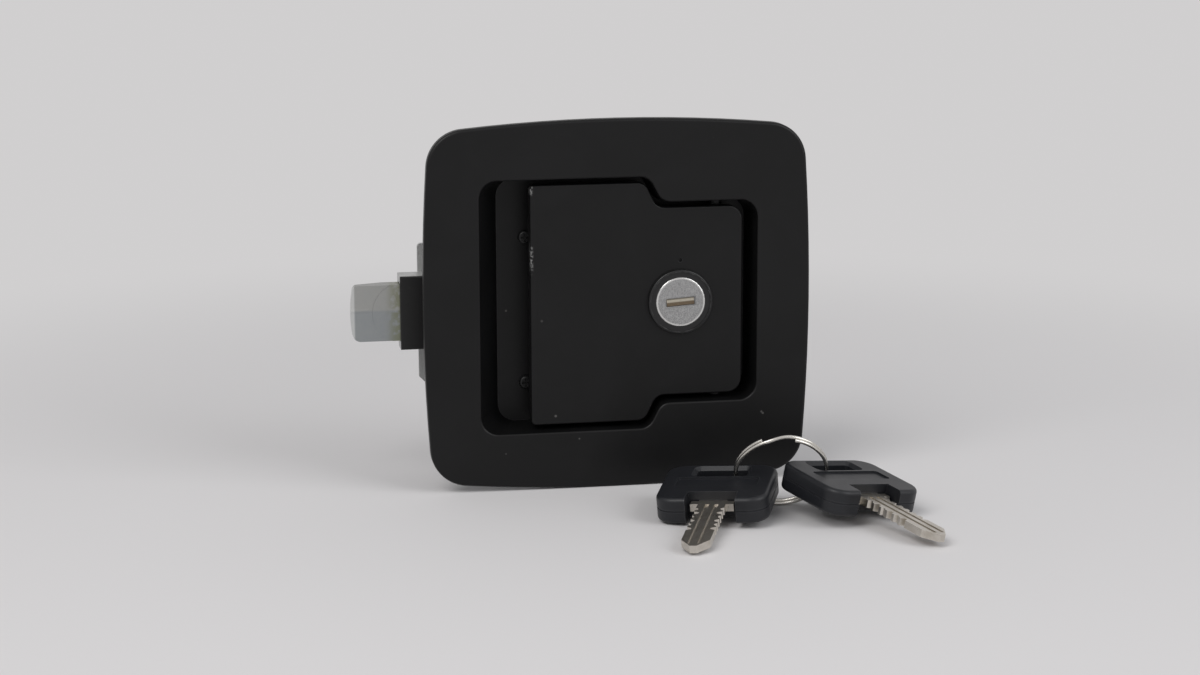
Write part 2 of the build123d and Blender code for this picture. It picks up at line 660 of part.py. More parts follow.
def make_plug_cap():
    """Bright pressed cap over the plug's front, with a rolled rim."""
    front = plug_front()
    cap = rod_y(LOCK_X, LOCK_Z, LOCK_FACE_R, front, front + 0.8)
    cap = fillet(cap.faces().sort_by(Axis.Y)[0].edges(), 0.3)
    cap -= rod_y(LOCK_X, LOCK_Z, LOCK_FACE_R - 0.55, front - 1, front + 0.15)
    cap -= keyway(0.35, front - 1, front + 0.4)
    return cap - keyway(0, front - 1, front + 2)


def wafer_y(index):
    return PADDLE_FRONT + 2.0 + index * WAFER_PITCH


def make_lock_plug():
    """Turning barrel with its wafer slots, keyway and square drive for the cam."""
    front = plug_front()
    plug = rod_y(LOCK_X, LOCK_Z, LOCK_FACE_R, front + 0.8, front + LOCK_FACE_DEPTH)
    plug += rod_y(LOCK_X, LOCK_Z, LOCK_BORE_R, front + LOCK_FACE_DEPTH, LOCK_REAR)
    plug += slab(
        Pos(LOCK_X, LOCK_Z) * Circle(LOCK_BORE_R - 2.2), LOCK_REAR, CAM_FRONT
    )
    plug += slab(Pos(LOCK_X, LOCK_Z) * Rectangle(5, 5), CAM_FRONT, CAM_FRONT + CAM_THICKNESS)
    plug -= keyway(0, front - 1, LOCK_REAR - 1.5)
    for index in range(WAFER_COUNT):
        y = wafer_y(index)
        plug -= block(
            LOCK_X - WAFER_WIDTH / 2, LOCK_X + WAFER_WIDTH / 2, y, y + WAFER_THICKNESS,
            LOCK_Z - 5.4, LOCK_Z + 5.4,
        )
    plug -= rod_y(LOCK_X, LOCK_Z, 1.4, LOCK_REAR - 1.2, CAM_FRONT + CAM_THICKNESS + 1)
    return plug


def make_lock_wafers():
    """Brass wafers, each with its window for the key."""
    wafers = []
    for index in range(WAFER_COUNT):
        y = wafer_y(index)
        lift = (0.4, -0.3, 0.2, -0.5, 0.3)[index]
        wafer = block(
            LOCK_X - WAFER_WIDTH / 2 + 0.05, LOCK_X + WAFER_WIDTH / 2 - 0.05,
            y + 0.05, y + WAFER_THICKNESS - 0.05, LOCK_Z - 4.6 + lift, LOCK_Z + 4.6 + lift,
        )
        window = block(
            LOCK_X - 1.9, LOCK_X + 1.9, y - 1, y + 2, LOCK_Z - 1.6, LOCK_Z + 1.6
        )
        wafers.append(wafer - window)
    return Compound(wafers)


def make_shutter():
    """Dust shutter just inside the keyway."""
    front = plug_front() + 0.45
    outline = Pos(LOCK_X, LOCK_Z) * Rot(0, 0, KEYWAY_TURN) * Rectangle(
        KEYWAY_LENGTH - 0.3, KEYWAY_HEIGHT - 0.3
    )
    flap = slab(outline, front, front + 0.8)
    upper = flap.faces().sort_by(Axis.Y)[0].edges().sort_by(Axis.Z)[-1]
    return chamfer(upper, 0.35)


def make_lock_cam():
    """Flat tongue on the plug's end; it points at the grip when unlocked."""
    tongue = Pos(LOCK_X - CAM_LENGTH / 2, LOCK_Z) * Rectangle(CAM_LENGTH, CAM_WIDTH)
    tongue = fillet(tongue.vertices().group_by(Axis.X)[0], 2.0)
    outline = tongue + Pos(LOCK_X, LOCK_Z) * Circle(6.0)
    outline -= Pos(LOCK_X, LOCK_Z) * Rectangle(5, 5)
    return slab(outline, CAM_FRONT, CAM_FRONT + CAM_THICKNESS)


def make_cam_screw():
    seat = CAM_FRONT + CAM_THICKNESS
    head = rod_y(LOCK_X, LOCK_Z, CAM_SCREW_R, seat, seat + CAM_SCREW_HEAD)
    head = fillet(head.faces().sort_by(Axis.Y)[-1].edges(), 0.8)
    slot = slab(Pos(LOCK_X, LOCK_Z) * Rectangle(3.6, 0.7), seat + 0.8, seat + 4)
    slot += slab(Pos(LOCK_X, LOCK_Z) * Rectangle(0.7, 3.6), seat + 0.8, seat + 4)
    return head + rod_y(LOCK_X, LOCK_Z, 1.4, LOCK_REAR - 1.2, seat) - slot


# ---------------------------------------------------------------- bolt and its drive
def make_bolt():
    """Slam bolt: bevelled at the back of its nose, forked at the tail for the slide."""
    z0, z1 = CASE_CENTRE_Z - BOLT_HALF_HEIGHT, CASE_CENTRE_Z + BOLT_HALF_HEIGHT
    nose = ThreePointArc(
        (BOLT_NOSE, z1), (BOLT_NOSE - BOLT_NOSE_BULGE, CASE_CENTRE_Z + 1), (BOLT_NOSE, z0)
    )
    outline = make_face(Wire([
        nose, Line((BOLT_NOSE, z0), (BOLT_TAIL, z0)),
        Line((BOLT_TAIL, z0), (BOLT_TAIL, z1)), Line((BOLT_TAIL, z1), (BOLT_NOSE, z1)),
    ]))
    corners = outline.vertices().group_by(Axis.X)[0].sort_by(Axis.Y)
    outline = fillet(corners[0], 2.6)
    corners = outline.vertices().filter_by(lambda v: v.X < BOLT_NOSE + 1 and v.Y > 0)
    outline = fillet(corners.sort_by(Axis.Y)[-1], 1.4)
    bolt = slab(outline, BOLT_FRONT, BOLT_BACK)
    wedge = make_face(Polyline(
        (BOLT_NOSE - 3, BOLT_FRONT + BOLT_TIP_THICKNESS - 1.2),
        (BOLT_NOSE + BOLT_BEVEL_RUN, BOLT_BACK),
        (BOLT_NOSE + BOLT_BEVEL_RUN, BOLT_BACK + 3),
        (BOLT_NOSE - 3, BOLT_BACK + 3), close=True,
    ))
    bolt -= Pos(0, 0, z0 - 1) * extrude(wedge, z1 - z0 + 2)
    # A stepped face ahead of the round pad that bears on the strike
    face = Pos(BOLT_NOSE - 3, CASE_CENTRE_Z) * Rectangle(2 * (SNOUT_LEFT - BOLT_NOSE + 3), 30)
    pad = Pos(SNOUT_LEFT + 0.8, CASE_CENTRE_Z) * Circle(BOLT_PAD_R)
    bolt -= slab(face - pad, BOLT_FRONT - 1, BOLT_FRONT + BOLT_PAD_STEP)
    fork = block(
        SLIDE_BAR_LEFT, BOLT_TAIL + 1, SLIDE_FRONT, SLIDE_BACK,
        CASE_CENTRE_Z - SLIDE_BAR_HALF, CASE_CENTRE_Z + SLIDE_BAR_HALF,
    )
    bolt -= fork
    for x in slide_rivet_places():
        bolt -= rod_y(x, CASE_CENTRE_Z, RIVET_SHANK_R, BOLT_FRONT - 1, BOLT_BACK + 1)
    return bolt


def slide_rivet_places():
    return (SLIDE_BAR_LEFT + 4.0, BOLT_TAIL - 3.0)


def drive_drop():
    """How far the drive pin sinks over the rocker's swing."""
    return ROCKER_LONG_ARM * (1 - cos(radians(ROCKER_SWING)))


def slide_outline():
    """Bar on the bolt's centre line that climbs past the lock to the rocker's upper arm."""
    low, high = CASE_CENTRE_Z - SLIDE_BAR_HALF, CASE_CENTRE_Z + SLIDE_BAR_HALF
    head_low, head_high = DRIVE_Z - drive_drop() - 4.8, DRIVE_Z + 4.2
    head_left, head_right = ROCKER_X - 6.6, ROCKER_X + 5.6
    climb = head_low - low
    return make_face(Polyline(
        (SLIDE_BAR_LEFT, low), (head_left - climb - 6, low), (head_left - 6, head_low),
        (head_right, head_low), (head_right, head_high), (head_left - 12, head_high),
        (head_left - 12 - (head_high - high), high), (SLIDE_BAR_LEFT, high), close=True,
    ))


def make_bolt_slide():
    slide = slab(slide_outline(), SLIDE_FRONT, SLIDE_BACK)
    slide = fillet(slide.edges().filter_by(Axis.Y).group_by(Axis.X)[-1], 2.0)
    lug_x = SPRING_LEFT - SPRING_SEAT
    lug = block(
        lug_x, lug_x + 3.0, SLIDE_FRONT, SLIDE_BACK,
        SPRING_Z + SPRING_COIL_R + SPRING_WIRE_R + 0.3, CASE_CENTRE_Z - SLIDE_BAR_HALF + 1,
    )
    # The lug is folded square to the slide, as the spring's seat.
    seat = block(
        lug_x, lug_x + SPRING_SEAT, BOLT_FRONT, BOLT_BACK - 0.2,
        SPRING_Z - SPRING_COIL_R - 1.4, SPRING_Z + SPRING_COIL_R + 1.2,
    )
    slide += lug + seat
    slide -= rod_x(
        BOLT_FRONT + BOLT_THICKNESS / 2, SPRING_Z, SPRING_ROD_R + 0.3, lug_x - 4, lug_x + 4
    )
    run = drive_drop()
    slot_half = DRIVE_PIN_R + DRIVE_SLOT_GAP
    centre = DRIVE_Z - run / 2
    slot = Pos(ROCKER_X, centre) * Rectangle(2 * slot_half, run + 2 * DRIVE_PIN_R + 1.2)
    slot = fillet(slot.vertices(), slot_half * 0.6)
    slide -= slab(slot, SLIDE_FRONT - 1, SLIDE_BACK + 1)
    for x in slide_rivet_places():
        slide -= rod_y(x, CASE_CENTRE_Z, RIVET_SHANK_R, SLIDE_FRONT - 1, SLIDE_BACK + 1)
    return slide


def make_slide_rivets():
    return Compound([
        rod_y(x, CASE_CENTRE_Z, RIVET_SHANK_R, BOLT_FRONT, BOLT_BACK)
        for x in slide_rivet_places()
    ])


def make_bolt_spring():
    """Compression spring that throws the bolt out."""
    inset = SPRING_WIRE_R + 0.15
    length = SPRING_RIGHT - SPRING_LEFT - 2 * inset
    path = Helix(length / SPRING_TURNS, length, SPRING_COIL_R)
    profile = Plane(origin=path @ 0, z_dir=path % 0) * Circle(SPRING_WIRE_R)
    coil = sweep(profile, path, is_frenet=True)
    y = BOLT_FRONT + BOLT_THICKNESS / 2
    return Pos(SPRING_LEFT + inset, y, SPRING_Z) * Rot(0, 90, 0) * coil


def make_spring_rod():
    y = BOLT_FRONT + BOLT_THICKNESS / 2
    rod = rod_x(y, SPRING_Z, SPRING_ROD_R, SPRING_LEFT + BOLT_TRAVEL + 1.2, SPRING_RIGHT + CASE_WALL)
    head = rod_x(y, SPRING_Z, SPRING_ROD_R + 1.0, SPRING_RIGHT + CASE_WALL, SPRING_RIGHT + CASE_WALL + 0.8)
    return rod + head


def make_rocker():
    """Flat lever: the tail pushes its lower pin, its upper pin draws the slide."""
    tall = ROCKER_LONG_ARM + ROCKER_SHORT_ARM
    middle = ROCKER_Z + (ROCKER_LONG_ARM - ROCKER_SHORT_ARM) / 2
    arm = Pos(ROCKER_X, middle) * Rot(0, 0, 90) * SlotCenterToCenter(tall, 2 * ROCKER_HALF_WIDTH)
    arm += Pos(ROCKER_X, ROCKER_Z) * Circle(ROCKER_HALF_WIDTH + 1.6)
    lever = slab(arm, ROCKER_FRONT, ROCKER_BACK)
    lever -= rod_y(ROCKER_X, ROCKER_Z, ROCKER_PIVOT_R + PIN_CLEARANCE, ROCKER_FRONT - 1, ROCKER_BACK + 1)
    lever -= rod_y(ROCKER_X, PUSH_Z, PUSH_PIN_R - 1.6, ROCKER_FRONT - 1, ROCKER_BACK + 1)
    lever -= rod_y(ROCKER_X, DRIVE_Z, DRIVE_PIN_R - 0.6, ROCKER_FRONT - 1, ROCKER_BACK + 1)
    return lever


def make_push_pin():
    front = PAN_BACK + 0.6
    pin = rod_y(ROCKER_X, PUSH_Z, PUSH_PIN_R, front, ROCKER_FRONT)
    pin = chamfer(pin.faces().sort_by(Axis.Y)[0].edges(), 0.4)
    return pin + rod_y(ROCKER_X, PUSH_Z, PUSH_PIN_R - 1.6, ROCKER_FRONT, ROCKER_BACK)


def make_drive_pin():
    pin = rod_y(ROCKER_X, DRIVE_Z, DRIVE_PIN_R, SLIDE_FRONT - 0.5, ROCKER_FRONT)
    pin = chamfer(pin.faces().sort_by(Axis.Y)[0].edges(), 0.4)
    return pin + rod_y(ROCKER_X, DRIVE_Z, DRIVE_PIN_R - 0.6, ROCKER_FRONT, ROCKER_BACK)


def make_rocker_pivot():
    """Shoulder rivet fixed in the back plate."""
    rivet = rod_y(ROCKER_X, ROCKER_Z, ROCKER_PIVOT_R, ROCKER_FRONT - 0.2, CASE_BACK)
    rivet += rod_y(ROCKER_X, ROCKER_Z, ROCKER_PIVOT_R + 1.6, ROCKER_FRONT - 1.2, ROCKER_FRONT - 0.2)
    rivet += rod_y(ROCKER_X, ROCKER_Z, ROCKER_PIVOT_R - 0.5, CASE_BACK, CASE_BACK + BACK_PLATE_THICKNESS)
    back = CASE_BACK + BACK_PLATE_THICKNESS
    head = rod_y(ROCKER_X, ROCKER_Z, ROCKER_PIVOT_R + 0.8, back, back + 0.9)
    return rivet + fillet(head.faces().sort_by(Axis.Y)[-1].edges(), 0.6)


# ---------------------------------------------------------------- keys
def key_blade():
    """Double-sided blade, drawn flat with its shoulder at y = 0 and its tip towards -Y."""
    half = BLADE_WIDTH / 2
    blade = Rectangle(BLADE_WIDTH, BLADE_REACH - BLADE_TIP)
    blade = Pos(0, -(BLADE_REACH - BLADE_TIP) / 2) * blade
    tip = make_face(Polyline(
        (-half, -(BLADE_REACH - BLADE_TIP)), (half, -(BLADE_REACH - BLADE_TIP)),
        (1.0, -BLADE_REACH), (-1.0, -BLADE_REACH), close=True,
    ))
    blade += tip
    for side in (1, -1):
        for index, depth in enumerate(BIT_DEPTHS):
            y = -(BLADE_SHOULDER_LENGTH + 4.6 + index * BIT_PITCH)
            cut = make_face(Polyline(
                (side * (half + 0.5), y + 1.35), (side * (half - depth), y + 0.45),
                (side * (half - depth), y - 0.45), (side * (half + 0.5), y - 1.35), close=True,
            ))
            blade -= cut
    blade += Pos(0, -0.6 - BLADE_SHOULDER_LENGTH / 2) * Rectangle(
        BLADE_SHOULDER_WIDTH, BLADE_SHOULDER_LENGTH
    )
    tang = Pos(0, BOW_DEPTH * 0.2) * Rectangle(BLADE_WIDTH, BOW_DEPTH * 0.4)
    solid = extrude(blade + tang, BLADE_THICKNESS / 2, both=True)
    for x in (-1.3, 1.5):
        for side in (1, -1):
            groove = Box(GROOVE_WIDTH, BLADE_REACH - 5.0, 2 * GROOVE_DEPTH)
            y = -(BLADE_REACH - 5.0) / 2 - 3.2
            solid -= Pos(x, y, side * BLADE_THICKNESS / 2) * groove
    return solid


def key_bow():
    """Moulded bow with a ring slot, a bare raised-border panel and a notch for the blade."""
    centre_y = BOW_DEPTH / 2 - BOW_NOTCH_DEPTH
    outline = fillet(Rectangle(BOW_WIDTH, BOW_DEPTH).vertices(), BOW_CORNER_R)
    bow = extrude(Pos(0, centre_y) * outline, BOW_THICKNESS / 2, both=True)
    faces = bow.faces().sort_by(Axis.Z)
    bow = fillet(faces[0].edges() + faces[-1].edges(), BOW_EDGE_R)
    notch = Pos(0, -BOW_NOTCH_DEPTH / 2 - 0.5) * Rectangle(BOW_NOTCH_WIDTH, BOW_NOTCH_DEPTH + 1)
    bow -= extrude(notch, BOW_THICKNESS, both=True)
    slot_y = BOW_DEPTH - BOW_NOTCH_DEPTH - BOW_SLOT_INSET
    slot = fillet(Rectangle(BOW_SLOT_LENGTH, BOW_SLOT_WIDTH).vertices(), 0.9)
    bow -= extrude(Pos(0, slot_y) * slot, BOW_THICKNESS, both=True)
    faces = bow.faces().sort_by(Axis.Z)
    mouths = faces[0].inner_wires()[0].edges() + faces[-1].inner_wires()[0].edges()
    bow = chamfer(mouths, BOW_SLOT_MOUTH)
    panel = fillet(Rectangle(BOW_WIDTH - 9.0, 7.4).vertices(), 1.2)
    for side in (1, -1):
        top = side * (BOW_THICKNESS / 2 - BOW_PANEL_STEP)
        bow -= Pos(0, slot_y - BOW_SLOT_WIDTH / 2 - 5.6, top) * extrude(panel, side * 2)
    # The seam where the two moulded halves meet
    seam = extrude(
        Pos(0, centre_y) * fillet(Rectangle(BOW_WIDTH, BOW_DEPTH).vertices(), BOW_CORNER_R), 0.25, both=True
    ) - extrude(
        Pos(0, centre_y)
        * fillet(Rectangle(BOW_WIDTH - 0.5, BOW_DEPTH - 0.5).vertices(), BOW_CORNER_R - 0.25), 1, both=True
    )
    bow -= seam
    return bow - key_tang_room()


def key_tang_room():
    tang = Pos(0, BOW_DEPTH * 0.2) * Rectangle(BLADE_WIDTH, BOW_DEPTH * 0.4)
    return extrude(tang, BLADE_THICKNESS / 2, both=True)


def key_place(x, y, z, yaw, pitch, roll):
    """Place a key by the middle of its shoulder; yaw about Z, pitch lifts the tip."""
    return Pos(x, y, z) * Rot(0, 0, yaw) * Rot(pitch, 0, 0) * Rot(0, roll, 0)


KEY_PLACES = (
    key_place(19.49, -49.90, FLOOR_Z + 5.79, -21.98, 6.05, -3.52),
    key_place(64.52, -55.40, FLOOR_Z + 7.10, 21.54, 6.57, 7.66),
)


def make_split_ring():
    """Two wound turns joined by a short jog between the cut ends, through both bows."""
    rise = RING_PITCH / 2
    first = Pos(0, 0, -rise) * CenterArc((0, 0), RING_R, RING_END_AT, RING_JOG_START)
    second = Pos(0, 0, rise) * CenterArc(
        (0, 0), RING_R, RING_END_AT + RING_JOG_END, RING_WIND - RING_JOG_END
    )
    middle = RING_END_AT + (RING_JOG_START + RING_JOG_END) / 2
    crossing = (RING_R * cos(radians(middle)), RING_R * sin(radians(middle)), 0)
    jog = Spline(first @ 1, crossing, second @ 0, tangents=(first % 1, second % 0))
    wire = Wire([first, jog, second])
    section = Plane(origin=first @ 0, z_dir=first % 0) * Circle(RING_WIRE_R)
    coil = sweep(section, path=wire, is_frenet=False)
    return Pos(*RING_CENTRE) * Rot(0, 0, RING_YAW) * Rot(90 - RING_TILT, 0, 0) * coil


# ---------------------------------------------------------------- write the pieces
PIECES = {
    "bezel_pan": make_bezel_pan,
    "paddle_pin": make_paddle_pin,
    "pin_clips": make_pin_clips,
    "latch_case": make_latch_case,
    "back_plate": make_back_plate,
    "plate_rivets": make_plate_rivets,
    "case_screws": make_case_screws,
    "snout_cover": make_snout_cover,
    "cover_rivets": make_cover_rivets,
    "spring_rod": make_spring_rod,
    "rocker_pivot": make_rocker_pivot,
    "paddle": make_paddle,
    "paddle_spring": make_paddle_spring,
    "lock_housing": make_lock_housing,
    "lock_nut": make_lock_nut,
    "lock_plug": make_lock_plug,
    "plug_cap": make_plug_cap,
    "keyway_shutter": make_shutter,
    "lock_wafers": make_lock_wafers,
    "lock_cam": make_lock_cam,
    "cam_screw": make_cam_screw,
    "bolt": make_bolt,
    "bolt_slide": make_bolt_slide,
    "slide_rivets": make_slide_rivets,
    "bolt_spring": make_bolt_spring,
    "rocker": make_rocker,
    "rocker_push_pin": make_push_pin,
    "rocker_drive_pin": make_drive_pin,
    "split_ring": make_split_ring,
}

for name, make in PIECES.items():
    export_step(make(), f"parts/{name}.step")

for number, place in enumerate(KEY_PLACES, start=1):
    export_step(place * key_blade(), f"parts/key_{number}_blade.step")
    export_step(place * key_bow(), f"parts/key_{number}_bow.step")
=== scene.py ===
import math

import bpy
from mathutils import Matrix, Vector


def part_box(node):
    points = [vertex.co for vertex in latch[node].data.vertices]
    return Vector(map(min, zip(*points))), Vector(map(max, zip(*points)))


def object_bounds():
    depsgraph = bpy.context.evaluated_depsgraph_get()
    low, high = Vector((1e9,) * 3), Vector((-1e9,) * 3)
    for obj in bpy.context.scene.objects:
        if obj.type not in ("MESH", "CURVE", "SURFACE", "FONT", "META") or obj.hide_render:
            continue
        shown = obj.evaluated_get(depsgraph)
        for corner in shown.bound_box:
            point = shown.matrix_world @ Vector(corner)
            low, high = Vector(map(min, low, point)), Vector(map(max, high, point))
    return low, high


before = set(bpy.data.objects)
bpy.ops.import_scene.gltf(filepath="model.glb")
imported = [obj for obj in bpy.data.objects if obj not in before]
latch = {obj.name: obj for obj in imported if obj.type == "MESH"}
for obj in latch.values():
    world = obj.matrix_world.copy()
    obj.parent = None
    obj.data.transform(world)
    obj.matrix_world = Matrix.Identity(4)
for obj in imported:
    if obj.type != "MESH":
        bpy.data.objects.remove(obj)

cad_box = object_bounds()

# ---------------------------------------------------------------- flange and finger pan
# One zinc die casting: the flange that lies on the door and the drafted T-shaped pan for the
# fingers. It is blasted and powder coated satin black, with a fine orange peel; the coat is
# rubbed thin along its edges and carries a little dust.


class Channel:
    """A shader value that adds and multiplies like a number."""

    def __init__(self, finish, socket):
        self.finish = finish
        self.socket = socket

    def maths(self, operation, first, second=0.0):
        settings = {"operation": operation}
        return self.finish.node("ShaderNodeMath", settings, {0: first, 1: second})

    def __add__(self, other):
        return self.maths("ADD", self, other)

    def __sub__(self, other):
        return self.maths("SUBTRACT", self, other)

    def __rsub__(self, other):
        return self.maths("SUBTRACT", other, self)

    def __mul__(self, other):
        return self.maths("MULTIPLY", self, other)

    def __truediv__(self, other):
        return self.maths("DIVIDE", self, other)

    __radd__ = __add__
    __rmul__ = __mul__

    def least(self, other):
        return self.maths("MINIMUM", self, other)

    def most(self, other):
        return self.maths("MAXIMUM", self, other)

    def size(self):
        return self.maths("ABSOLUTE", self)

    def step(self, low, high):
        """0 below low and 1 above high, with a soft edge between; high may be the lower."""
        inputs = {"Value": self, "From Min": low, "From Max": high}
        return self.finish.node("ShaderNodeMapRange", {"interpolation_type": "SMOOTHSTEP"}, inputs)


class Finish:
    """One material, its nodes and the places on the latch in millimetres."""

    def __init__(self, name, colour, **shader):
        self.material = bpy.data.materials.new(name)
        self.material.use_nodes = True
        self.tree = self.material.node_tree
        self.shader = self.tree.nodes["Principled BSDF"]
        self.set("Base Color", colour)
        for socket, value in shader.items():
            self.set(socket.replace("_", " "), value)
        where = self.node("ShaderNodeTexCoord", {}, {}, "Object")
        inputs = {0: where, "Scale": 1000.0}
        self.place = self.node("ShaderNodeVectorMath", {"operation": "SCALE"}, inputs)
        self.x, self.y, self.z = (
            self.node("ShaderNodeSeparateXYZ", {}, {0: self.place}, axis) for axis in "XYZ"
        )

    def node(self, kind, settings, inputs, output=0):
        """Add a node: its settings first, then values or links for its sockets."""
        made = self.tree.nodes.new(kind)
        for name, value in settings.items():
            if name == "stops":
                ramp = made.color_ramp.elements
                ramp[0].position, ramp[0].color = value[0]
                ramp[1].position, ramp[1].color = value[-1]
                for position, colour in value[1:-1]:
                    ramp.new(position).color = colour
            else:
                setattr(made, name, value)
        for name, value in inputs.items():
            self.feed(made.inputs[name], value)
        return Channel(self, made.outputs[output])

    def feed(self, socket, value):
        if isinstance(value, Channel):
            self.tree.links.new(value.socket, socket)
        elif socket.type == "RGBA":
            socket.default_value = (*value[:3], 1.0)
        else:
            socket.default_value = value

    def set(self, socket, value):
        self.feed(self.shader.inputs[socket], value)

    def noise(self, scale, detail=2.0, roughness=0.5, stretch=None, distortion=0.0):
        """Cloudy variation from 0 to 1, with this many cells to a millimetre."""
        place = self.place
        if stretch:
            inputs = {0: place, 1: stretch}
            place = self.node("ShaderNodeVectorMath", {"operation": "MULTIPLY"}, inputs)
        inputs = {"Vector": place, "Scale": scale, "Detail": detail, "Roughness": roughness}
        inputs["Distortion"] = distortion
        return self.node("ShaderNodeTexNoise", {}, inputs)

    def cells(self, scale, feature="F1", output="Distance"):
        inputs = {"Vector": self.place, "Scale": scale}
        return self.node("ShaderNodeTexVoronoi", {"feature": feature}, inputs, output)

    def blend(self, share, first, second):
        """Mix two colours by a share."""
        made = self.tree.nodes.new("ShaderNodeMix")
        made.data_type = "RGBA"
        for socket, value in ((0, share), (6, first), (7, second)):
            self.feed(made.inputs[socket], value)
        return Channel(self, made.outputs[2])

    def bump(self, height, depth, strength=1.0):
        """Raise the surface by a height from 0 to 1, over a depth in millimetres."""
        inputs = {"Height": height, "Distance": depth / 1000, "Strength": strength}
        self.set("Normal", self.node("ShaderNodeBump", {}, inputs))

    def edges(self, radius):
        """1 along the piece's corners and 0 on its faces, over a radius in millimetres."""
        inputs = {"Radius": radius / 1000}
        turned = self.node("ShaderNodeBevel", {"samples": 6}, inputs)
        true = self.node("ShaderNodeNewGeometry", {}, {}, "Normal")
        along = {"operation": "DOT_PRODUCT"}
        match = self.node("ShaderNodeVectorMath", along, {0: turned, 1: true}, "Value")
        return (1 - match).step(0.01, 0.12)

    def dress(self, *nodes):
        """Put the finish on CAD pieces and round off their shading."""
        for name in nodes:
            mesh = latch[name].data
            mesh.materials.clear()
            mesh.materials.append(self.material)
            smooth(mesh)


def smooth(mesh, corner=32.0):
    """Shade a mesh round, except across its real corners."""
    mesh.polygons.foreach_set("use_smooth", [True] * len(mesh.polygons))
    mesh.set_sharp_from_angle(angle=math.radians(corner))


COAT = (0.0036, 0.0036, 0.0038)
COAT_WORN = (0.05, 0.05, 0.052)
BARE_ZINC = (0.30, 0.30, 0.295)
DUST = (0.16, 0.155, 0.15)

coat = Finish("black_coat", COAT, Roughness=0.42, Specular_IOR_Level=0.26)
peel = coat.noise(0.55, 3.0, 0.55)
grain = coat.noise(2.6, 4.0, 0.62)
patches = coat.noise(0.035, 3.0, 0.6, distortion=0.6)
smears = coat.noise(0.05, 4.0, 0.65, stretch=(0.35, 1.0, 1.0))
flecks = coat.cells(0.11).step(0.055, 0.03) * coat.noise(0.02, 1.0).step(0.52, 0.6)
rubbed = coat.edges(0.5) * coat.noise(0.5, 3.0, 0.7).step(0.34, 0.62)
colour = coat.blend(patches.step(0.35, 0.75) * 0.7, COAT, (0.0062, 0.0062, 0.0066))
colour = coat.blend(rubbed * 0.65, colour, COAT_WORN)
colour = coat.blend(flecks * 0.55, colour, DUST)

# The grip edge and its upper corner have lost chips of paint to finger rings.
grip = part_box("paddle")[0].x * 1000
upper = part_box("paddle")[1].z * 1000
near_grip = (coat.x - grip).size().step(1.1, 0.3) * (coat.y - 0.5).step(1.6, 0.4)
worn_run = (coat.z - 15.0).size().step(5.5, 2.0) * coat.noise(0.9, 3.0, 0.7).step(0.47, 0.6)
worn_corner = (coat.z - (upper - 1.2)).size().step(2.2, 0.8) * coat.noise(1.3, 3.0).step(0.4, 0.55)
chips = near_grip * worn_run.most(worn_corner)
colour = coat.blend(chips * 0.9, colour, BARE_ZINC)
coat.set("Base Color", colour)
coat.set("Metallic", chips * 0.7)
coat.set("Roughness", 0.40 + 0.12 * (smears - 0.5) + 0.10 * (grain - 0.5) + 0.12 * flecks - 0.08 * rubbed)
coat.bump(peel * 0.6 + grain * 0.4 - chips * 1.2, 0.035, 0.55)
coat.dress("bezel_pan", "paddle")

# ---------------------------------------------------------------- snout cover
# Pressed steel plate over the front of the bolt's guide, painted black and held by two
# rivets of the same black behind the flange.
COVER_BLACK = (0.007, 0.007, 0.0072)
cover = Finish("black_cover", COVER_BLACK, Roughness=0.5, Specular_IOR_Level=0.4)
brush = cover.noise(0.6, 3.0, 0.6, stretch=(0.3, 1.0, 1.6))
scuffs = cover.noise(0.35, 4.0, 0.7).step(0.58, 0.75)
worn = cover.edges(0.3) * cover.noise(0.9, 2.0).step(0.4, 0.6)
cover.set("Base Color", cover.blend((scuffs * 0.3).most(worn * 0.5), COVER_BLACK, (0.05, 0.05, 0.048)))
cover.set("Roughness", 0.46 + 0.16 * (brush - 0.5) + 0.1 * scuffs)
cover.bump(brush, 0.03, 0.5)
cover.dress("snout_cover", "cover_rivets")

# ---------------------------------------------------------------- case, rear cover and levers
# Folded and stamped mild steel with a clear zinc plating: the case, its rear cover with the
# ear beside the flange, the slide, the rocker, the cam and the nut. The plating is cloudy,
# with rolling lines under it.
ZINC = (0.62, 0.625, 0.62)
ZINC_DULL = (0.42, 0.425, 0.42)
sheet = Finish("zinc_sheet", ZINC, Metallic=0.85, Roughness=0.42)
cloud = sheet.noise(0.12, 4.0, 0.6, distortion=0.8)
spangle = sheet.cells(0.45, output="Color")
spangle = sheet.node("ShaderNodeSeparateColor", {}, {0: spangle})
rolled = sheet.noise(0.9, 3.0, 0.6, stretch=(0.08, 1.0, 1.4))
stain = sheet.noise(0.3, 3.0, 0.7).step(0.6, 0.8)
sheet.set("Base Color", sheet.blend((cloud * 0.7 + spangle * 0.25 + stain * 0.25), ZINC, ZINC_DULL))
sheet.set("Roughness", 0.34 + 0.2 * cloud + 0.1 * (spangle - 0.5) + 0.1 * (rolled - 0.5))
sheet.bump(rolled * 0.7 + spangle * 0.3, 0.02, 0.6)
sheet.dress("latch_case", "back_plate", "bolt_slide", "rocker", "lock_cam", "lock_nut")
